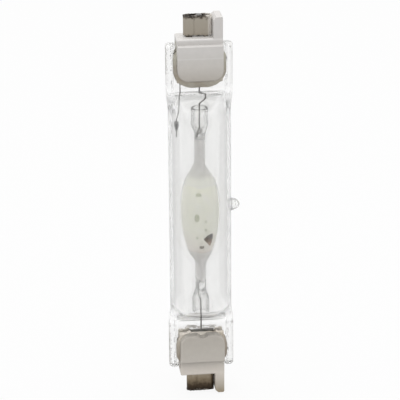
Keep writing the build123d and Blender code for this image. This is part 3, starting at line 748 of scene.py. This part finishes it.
def hollow_ring(height):
    """Ring of the bulb's hollow at a height above the lamp's middle."""
    level = abs(height)
    end = PINCH_START - SLIT_SETBACK
    blend = smooth((level - TUBE_END) / (end - TUBE_END))
    closing = 1 - smooth((level - end + SLIT_ROUND) / SLIT_ROUND) * SLIT_CLOSING
    points = []
    for i in range(BULB_SIDES):
        angle = 2 * math.pi * i / BULB_SIDES
        round_point = Vector((BORE_RADIUS * math.cos(angle), BORE_RADIUS * math.sin(angle)))
        flat_point = Vector((SLIT_HALF_WIDTH * math.cos(angle), SLIT_HALF * math.sin(angle) * closing))
        point = round_point.lerp(flat_point, blend)
        points.append(Vector((point.x, point.y, MIDDLE + height)))
    return points


def levels(stops):
    """Heights between stops of (height, step), with the step of the stop that begins each run."""
    heights = []
    for (start, step), (end, _) in zip(stops, stops[1:]):
        count = max(1, round((end - start) / step))
        heights += [start + (end - start) * i / count for i in range(count)]
    return heights + [stops[-1][0]]


def outer_bulb():
    """Clear quartz bulb with beaded pinches and the sealed-off exhaust tip."""
    end = PINCH_START + PINCH_LENGTH
    tip_low, tip_high = TIP_HEIGHT - TIP_ROWS * TIP_RADIUS, TIP_HEIGHT + TIP_ROWS * TIP_RADIUS
    end_step, slit_step = END_ROUND / END_ROWS, SLIT_ROUND / SLIT_ROWS
    lower = [(-end, end_step), (-end + END_ROUND, PINCH_STEP), (-PINCH_START, SHOULDER_STEP),
             (-TUBE_END, TUBE_STEP)]
    upper = [(TUBE_END, SHOULDER_STEP), (PINCH_START, PINCH_STEP), (end - END_ROUND, end_step),
             (end, FINE_STEP)]
    outside = levels(lower + [(tip_low, FINE_STEP), (tip_high, TUBE_STEP)] + upper)
    close = PINCH_START - SLIT_SETBACK
    hollow = levels([(-close, slit_step), (-close + SLIT_ROUND, SHOULDER_STEP), (-TUBE_END, TUBE_STEP),
                     (TUBE_END, SHOULDER_STEP), (close - SLIT_ROUND, slit_step), (close, FINE_STEP)])
    shell = bmesh.new()
    lattice(shell, [bulb_ring(height) for height in outside], end_rows=END_ROWS, end_slot=1)
    lattice(shell, [hollow_ring(height) for height in hollow], inward=True)
    materials = [clear_quartz(), pressed_quartz()]
    make_piece("outer_bulb_quartz", shell, materials, "clear_quartz", "outer_bulb")


# ---------------------------------------------------------------- arc tube

def egg_radius(height, inset):
    """Radius of the arc tube's bulb at a height, or of its hollow when inset by the wall."""
    half = ARC_UPPER_HALF if height > ARC_MIDDLE else ARC_LOWER_HALF
    share = min(1.0, abs(height - ARC_MIDDLE) / (half - inset))
    return (ARC_RADIUS - inset) * math.sqrt(1 - share ** 2)


def arc_section(height):
    """Half-width and half-depth of the arc tube at a height, with its corners melted round."""
    in_stub = min(ARC_HIGH.z - height, height - ARC_LOW.z) < STUB_LENGTH + FUNNEL_LENGTH + ARC_MELT
    melt = STUB_MELT if in_stub else ARC_MELT
    steps = range(-MELT_STEPS, MELT_STEPS + 1)
    shares = [arc_outline(height + melt * step / MELT_STEPS) for step in steps]
    return [sum(share[side] for share in shares) / len(shares) for side in (0, 1)]


def arc_outline(height):
    """Half-width and half-depth of the arc tube's plain outline at a height."""
    up = height > ARC_MIDDLE
    bulb_end = ARC_MIDDLE + ARC_UPPER_HALF if up else ARC_MIDDLE - ARC_LOWER_HALF
    stub_end = ARC_HIGH.z if up else ARC_LOW.z
    beyond = (height - bulb_end) if up else (bulb_end - height)
    left = (stub_end - height) if up else (height - stub_end)
    flare = UPPER_FLARE_LENGTH if up else LOWER_FLARE_LENGTH
    root = FLARE_REACH - flare
    if beyond < root:
        return egg_radius(height, 0), egg_radius(height, 0)
    if left < STUB_LENGTH:
        return STUB_RADIUS, STUB_RADIUS
    if left < STUB_LENGTH + FUNNEL_LENGTH:
        open_share = (STUB_LENGTH + FUNNEL_LENGTH - left) / FUNNEL_LENGTH
        return (SEAL_HALF_WIDTH + (STUB_RADIUS - SEAL_HALF_WIDTH) * open_share,
                SEAL_HALF + (STUB_RADIUS - SEAL_HALF) * open_share)
    root_radius = egg_radius(bulb_end + root if up else bulb_end - root, 0)
    rest = max(0.0, 1 - (beyond - root) / flare) ** FLARE_CURVE
    return (SEAL_HALF_WIDTH + (root_radius - SEAL_HALF_WIDTH) * rest,
            SEAL_HALF + (root_radius - SEAL_HALF) * rest)


def stub_wall(end, up):
    """Rings from the outside of a stub round its rim and down its bore to the funnel's pit."""
    sign = 1 if up else -1
    bore = STUB_RADIUS - STUB_WALL
    rings = []
    for i in range(RIM_STEPS + 1):
        turn = math.pi * i / RIM_STEPS
        radius = (STUB_RADIUS + bore) / 2 + STUB_WALL / 2 * math.cos(turn)
        rings.append((radius, end - sign * STUB_WALL / 2 * (1 - math.sin(turn))))
    for depth, share in STUB_BORE:
        rings.append((bore * share, end - sign * depth))
    return [ring_points(radius, radius, height, ARC_SIDES, SEAL_TURN) for radius, height in rings]


def hollow_rings():
    """Rings of the arc tube's hollow, which the film lines."""
    rings = []
    for i in range(HOLLOW_STEPS + 1):
        angle = math.pi * (i / HOLLOW_STEPS - 0.5) * HOLLOW_CLOSE
        half = (ARC_UPPER_HALF if angle > 0 else ARC_LOWER_HALF) - ARC_WALL
        radius = (ARC_RADIUS - ARC_WALL) * math.cos(angle)
        rings.append(ring_points(radius, radius, ARC_MIDDLE + math.sin(angle) * half, ARC_SIDES, SEAL_TURN))
    return rings


def arc_tube():
    """Arc tube: blown bulb, pinched seals, funnels and open stubs, with the film inside."""
    edge = STUB_WALL / 2
    heights = levels([(ARC_LOW.z + edge, ARC_STEP), (ARC_HIGH.z - edge, ARC_STEP)])
    outside = []
    for height in heights:
        wide, deep = arc_section(height)
        outside.append(ring_points(wide, deep, height, ARC_SIDES, SEAL_TURN))
    lower = list(reversed(stub_wall(ARC_LOW.z, up=False)))
    upper = stub_wall(ARC_HIGH.z, up=True)
    shell = bmesh.new()
    lattice(shell, lower[:-1] + outside + upper[1:])
    for face in shell.faces:
        middle = face.calc_center_median().z
        if middle > ARC_HIGH.z - UPPER_CLEAR or middle < ARC_LOW.z + LOWER_CLEAR:
            face.material_index = 2
    lattice(shell, hollow_rings(), inward=True, slot=1)
    materials = [arc_quartz("arc_quartz", ARC_IOR), arc_film(), arc_quartz("stub_quartz", QUARTZ_IOR)]
    make_piece("arc_tube_quartz", shell, materials, "arc_quartz", "arc_tube")


# ---------------------------------------------------------------- salt and mercury

def on_wall(point, depth):
    """Point moved along its radius to a depth inside the arc tube's inner wall."""
    radius = egg_radius(point.z, ARC_WALL) - depth
    across = Vector((point.x, point.y)).normalized() * radius
    return Vector((across.x, across.y, point.z))


def salt_crust():
    """Angular salt crust, bent onto the inner wall and soaked a little into its skin."""
    shell = regrown("halide_salt", SALT_VOXEL, 2)
    seat = max(nodes["halide_salt"].data.polygons, key=lambda face: face.area).normal
    if seat.y > 0:
        seat = -seat
    front = max(vertex.co.dot(seat) for vertex in shell.verts)
    low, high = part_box("halide_salt")
    for vertex in shell.verts:
        depth = front - vertex.co.dot(seat) - WALL_SOAK
        foot = smooth(SALT_FOOT - 2 * (vertex.co.z - low.z) / (high.z - low.z))
        vertex.co += Vector((SALT_LEAN, 0, -SALT_LEAN)) * foot
        rough = vertex.normal * SALT_RELIEF * noise.noise(vertex.co / SALT_GRAIN)
        vertex.co = on_wall(vertex.co, depth) + rough
    make_piece("salt_crust", shell, [salt(low.z, high.z)], "halide_salt", "halide_salt")


def mercury_drops():
    """Small drops spread on the inner wall."""
    shell = bmesh.new()
    for height, azimuth, wide, tall, tone in DROPS:
        turn = math.radians(azimuth)
        outward = Vector((math.sin(turn), -math.cos(turn), 0))
        seat = on_wall(outward + Vector((0, 0, MIDDLE + height)), 0)
        lean = outward.to_track_quat("Z", "Y").to_matrix().to_4x4()
        size = Matrix.Diagonal((wide / 2, tall / 2, DROP_RISE, 1))
        drop = bmesh.ops.create_icosphere(shell, subdivisions=DROP_DETAIL, radius=1,
                                          matrix=Matrix.Translation(seat) @ lean @ size)
        for face in {face for vertex in drop["verts"] for face in vertex.link_faces}:
            face.smooth = True
            face.material_index = tone
    for vertex in shell.verts:
        vertex.co.z += DROP_RAGGED * noise.noise(vertex.co / DROP_GRAIN)
    # The pale drop's near-white tone is a painted highlight.
    tones = [deposit("mercury_grey", (0.53, 0.55, 0.43), (0.69, 0.71, 0.56), 0.35),
             deposit("mercury_painted_glint", (0.92, 0.94, 0.86), (1.0, 1.0, 0.95), 0.35),
             deposit("mercury_dark", (0.08, 0.07, 0.05), (0.34, 0.30, 0.24), 0.5),
             deposit("mercury_faint", (0.64, 0.65, 0.54), (0.78, 0.79, 0.67), 0.35)]
    make_piece("mercury_drops", shell, tones, "mercury", "mercury_beads")


# ---------------------------------------------------------------- cement

def cement_body(end, notch, stops):
    """Cement with a lumpy skin, grown from its solid so that it wets the glass and the ceramic.

    A notch in its inner edge, of one depth in front and another behind, can bare the foil."""
    low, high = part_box(end + "_cement")
    shell = regrown(end + "_cement", CEMENT_VOXEL, 4)
    for vertex in shell.verts:
        lump = noise.fractal(vertex.co / CEMENT_GRAIN, *SOFT_FRACTAL)
        vertex.co += vertex.normal * (CEMENT_SWELL + CEMENT_RELIEF * lump)
        depth = notch[0] + (notch[1] - notch[0]) * smooth(vertex.co.y / (2 * NOTCH_FADE) + 0.5)
        middle = 1 - smooth((abs(vertex.co.x - NOTCH_MIDDLE) - NOTCH_HALF) / NOTCH_FADE)
        edge = smooth((vertex.co.z - high.z) / NOTCH_REACH + 1)
        vertex.co.z -= depth * middle * edge
    make_piece(end + "_cement_body", shell, [cement("cement_" + end, low.z, high.z, stops)],
               "cement", end + "_cement")


# ---------------------------------------------------------------- getter

def getter_strip():
    """Getter strip, crumpled by its welding and drawn out to a pale tail."""
    low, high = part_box("getter")
    middle = (low.x + high.x) / 2
    shell = regrown("getter", GETTER_VOXEL, 2)
    for vertex in shell.verts:
        rise = (vertex.co.z - low.z) / (high.z - low.z)
        vertex.co += vertex.normal * GETTER_RELIEF * noise.fractal(vertex.co / GETTER_GRAIN, *ROUGH_FRACTAL)
        width = GETTER_TAIL_WIDTH + (1 - GETTER_TAIL_WIDTH) * smooth(rise / GETTER_TAIL)
        vertex.co.x = middle + (vertex.co.x - middle) * width
    make_piece("getter_strip", shell, [getter_alloy(low.z, high.z)], "getter_alloy", "getter")


# ---------------------------------------------------------------- welds

def weld_crust(end, sign, bright):
    """Ragged crust of the weld along the open end of a contact."""
    low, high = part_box(end + "_contact")
    rim = (high if sign > 0 else low).z
    radius = (high.y - low.y) / 2 - CONTACT_WALL / 2
    left, right = low.x + radius + CONTACT_WALL / 2, high.x - radius - CONTACT_WALL / 2
    straight, bend = right - left, math.pi * radius
    around = 2 * (straight + bend)
    shell = bmesh.new()
    rows = []
    for i in range(CRUST_STEPS):
        run = around * i / CRUST_STEPS
        if run < straight:
            middle, side = Vector((left + run, -radius, rim)), Vector((0, -1, 0))
        elif run < straight + bend:
            turn = (run - straight) / radius - math.pi / 2
            side = Vector((math.cos(turn), math.sin(turn), 0))
            middle = Vector((right, 0, rim)) + side * radius
        elif run < 2 * straight + bend:
            middle, side = Vector((right - (run - straight - bend), radius, rim)), Vector((0, 1, 0))
        else:
            turn = (run - 2 * straight - bend) / radius + math.pi / 2
            side = Vector((math.cos(turn), math.sin(turn), 0))
            middle = Vector((left, 0, rim)) + side * radius
        lump = CRUST_HALF * (1 + CRUST_RAGGED * noise.fractal(middle / CRUST_GRAIN, *ROUGH_FRACTAL))
        ring = []
        for k in range(CRUST_SIDES):
            angle = 2 * math.pi * k / CRUST_SIDES
            lift = lump * math.sin(angle) * (CRUST_LIFT if math.sin(angle) * sign > 0 else CRUST_RUN)
            ring.append(shell.verts.new(middle + side * lump * math.cos(angle) + Vector((0, 0, lift))))
        rows.append(ring)
    for i in range(CRUST_STEPS):
        here, there = rows[i], rows[(i + 1) % CRUST_STEPS]
        for k in range(CRUST_SIDES):
            n = (k + 1) % CRUST_SIDES
            face = shell.faces.new((here[k], there[k], there[n], here[n]))
            face.smooth = True
    make_piece(end + "_weld_crust", shell, [crust("weld_" + end, high.x, bright)], "nickel_plate")


# ---------------------------------------------------------------- stage and camera

def floor():
    """Pale floor: white to the camera and in glass, with the lamp's own soft shadow left in."""
    mesh = bpy.data.meshes.new("floor")
    corners = [(-1, -1), (1, -1), (1, 1), (-1, 1)]
    mesh.from_pydata([(x * FLOOR_HALF, y * FLOOR_HALF, 0) for x, y in corners], [], [(0, 1, 2, 3)])
    plane = bpy.data.objects.new("floor", mesh)
    bpy.context.scene.collection.objects.link(plane)
    material = bpy.data.materials.new("floor")
    material.use_nodes = True
    tree = material.node_tree
    tree.nodes.clear()
    out = tree.nodes.new("ShaderNodeOutputMaterial")
    diffuse = tree.nodes.new("ShaderNodeBsdfDiffuse")
    diffuse.inputs["Color"].default_value = FLOOR_GREY
    glow = tree.nodes.new("ShaderNodeEmission")
    glow.inputs["Strength"].default_value = 1.0
    path = tree.nodes.new("ShaderNodeLightPath")
    seen = arithmetic(tree, "MAXIMUM", path.outputs["Is Camera Ray"], path.outputs["Is Glossy Ray"])
    seen = arithmetic(tree, "MAXIMUM", seen, path.outputs["Is Transmission Ray"])
    share = arithmetic(tree, "MULTIPLY", seen, FLOOR_GLOW)
    mix = tree.nodes.new("ShaderNodeMixShader")
    tree.links.new(share, mix.inputs[0])
    tree.links.new(diffuse.outputs[0], mix.inputs[1])
    tree.links.new(glow.outputs[0], mix.inputs[2])
    tree.links.new(mix.outputs[0], out.inputs["Surface"])
    mesh.materials.append(material)


def world():
    """Soft studio surround: brighter overhead, and plain white to the camera, in metal and in glass.

    What lights a dull surface through glass is the surround itself, as it is without the glass."""
    surround = bpy.data.worlds.new("studio")
    bpy.context.scene.world = surround
    surround.use_nodes = True
    tree = surround.node_tree
    background = tree.nodes["Background"]
    place = tree.nodes.new("ShaderNodeTexCoord")
    split = tree.nodes.new("ShaderNodeSeparateXYZ")
    tree.links.new(place.outputs["Generated"], split.inputs[0])
    sky = ramp_of(tree, spread(tree, split.outputs["Z"], SKY_LOW, SKY_HIGH), SKY)
    path = tree.nodes.new("ShaderNodeLightPath")
    through = arithmetic(tree, "MAXIMUM", path.outputs["Is Glossy Ray"], path.outputs["Is Transmission Ray"])
    unscattered = arithmetic(tree, "LESS_THAN", path.outputs["Diffuse Depth"], 0.5)
    seen = arithmetic(tree, "MAXIMUM", path.outputs["Is Camera Ray"],
                      arithmetic(tree, "MULTIPLY", through, unscattered))
    colour = mixed(tree, seen, sky, WHITE)
    tree.links.new(colour, background.inputs["Color"])


def softbox(name, place, size, power):
    """Square soft light aimed at the lamp's middle."""
    light = bpy.data.lights.new(name, "AREA")
    light.size = size
    light.energy = power
    lamp = bpy.data.objects.new(name, light)
    lamp.location = place
    lamp.rotation_mode = "QUATERNION"
    lamp.rotation_quaternion = (Vector((0, 0, MIDDLE)) - Vector(place)).to_track_quat("-Z", "Y")
    bpy.context.scene.collection.objects.link(lamp)


def camera():
    """Camera at the photo's place."""
    view = bpy.data.cameras.new("camera")
    view.lens = CAMERA_LENS
    view.sensor_width = SENSOR_WIDTH
    eye = bpy.data.objects.new("camera", view)
    bpy.context.scene.collection.objects.link(eye)
    back = Vector((math.sin(CAMERA_AZIMUTH) * math.cos(CAMERA_ELEVATION),
                   -math.cos(CAMERA_AZIMUTH) * math.cos(CAMERA_ELEVATION), math.sin(CAMERA_ELEVATION)))
    eye.location = Vector((0, 0, MIDDLE)) + back * CAMERA_DISTANCE
    turn = (Vector((0, 0, AIM_HEIGHT)) - eye.location).to_track_quat("-Z", "Y").to_matrix().to_4x4()
    eye.rotation_mode = "QUATERNION"
    eye.rotation_quaternion = (turn @ Matrix.Rotation(CAMERA_ROLL, 4, "Z")).to_quaternion()
    bpy.context.scene.camera = eye


# ---------------------------------------------------------------- build

outer_bulb()
arc_tube()

base_low, base_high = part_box("lower_base"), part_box("upper_base")
dress("upper_base", steatite("ceramic_upper", base_high[0].z, base_high[1].z, CERAMIC_UPPER))
dress("lower_base", steatite("ceramic_lower", base_low[0].z, base_low[1].z, CERAMIC_LOWER))
cement_body("upper", NO_NOTCH, CEMENT_UPPER)
cement_body("lower", LOWER_NOTCH, CEMENT_LOWER)
contact_low, contact_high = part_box("lower_contact"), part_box("upper_contact")
dress("upper_contact", nickel("nickel_upper", contact_high[0].z, contact_high[1].z,
                              contact_high[1].x, 1.0, NICKEL_UPPER))
dress("lower_contact", nickel("nickel_lower", contact_low[1].z, contact_low[0].z,
                              contact_low[1].x, 0.0, NICKEL_LOWER))

lead = metal("lead_metal", (0.16, 0.155, 0.15), (0.30, 0.29, 0.28), 0.35, 1.5 * MM)
foil = metal("molybdenum_foil", (0.36, 0.355, 0.345), (0.52, 0.515, 0.505), 0.4, 2.0 * MM)
pale_foil = metal("pale_foil", (0.5, 0.5, 0.49), (0.66, 0.66, 0.65), 0.5, 1.5 * MM)
tungsten = metal("tungsten", (0.2, 0.2, 0.2), (0.36, 0.36, 0.35), 0.4, 0.8 * MM)
for end in ("upper", "lower"):
    dress(end + "_outer_lead", lead)
    dress(end + "_feed_wire", lead)
    dress(end + "_pinch_foil", foil)
    dress(end + "_arc_foil", pale_foil)
    dress(end + "_electrode", tungsten)
    dress(end + "_electrode_coil", tungsten)
dress("getter_wire", lead)
getter_strip()
salt_crust()
mercury_drops()
weld_crust("upper", 1, CRUST_BRIGHT_UPPER)
weld_crust("lower", -1, 0.0)

floor()
world()
for box in SOFTBOXES:
    softbox(*box)
camera()
bpy.context.scene.view_settings.view_transform = "Standard"
